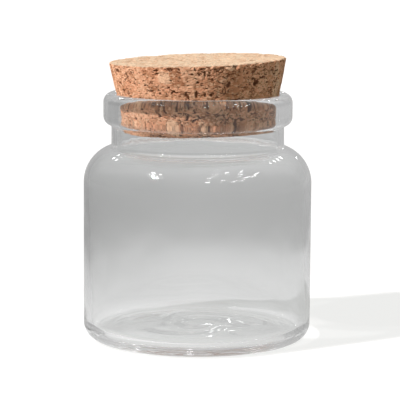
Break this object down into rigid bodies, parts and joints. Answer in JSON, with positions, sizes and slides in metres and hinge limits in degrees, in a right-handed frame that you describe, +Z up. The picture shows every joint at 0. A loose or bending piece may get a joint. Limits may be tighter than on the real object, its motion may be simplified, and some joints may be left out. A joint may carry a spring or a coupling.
{
  "type": "glass jar with cork stopper",
  "caption": "Round clear-glass storage jar with rounded shoulder, short neck and rolled rim, closed by a tapered cork stopper that lifts out.",
  "frame": {"origin": "middle of the jar's foot, on the surface that the jar stands on", "axes": "+Z up along the jar's axis, -Y towards the front as pictured, -X to the side that the cork leans to"},
  "size_m": [0.06, 0.06, 0.0745],
  "materials": {
    "clear_glass": "polished clear glass, slightly wavy as moulded",
    "cork": "raw agglomerated cork, grainy with dark pits"
  },
  "bodies": {
    "jar": {"glass_jar": "clear_glass"},
    "stopper": {"cork_stopper": "cork"}
  },
  "joints": [
    {"name": "stopper_lift", "type": "slide", "parent": "jar", "child": "stopper", "axis": [0, 0, 1], "range_m": [0, 0.045]}
  ]
}
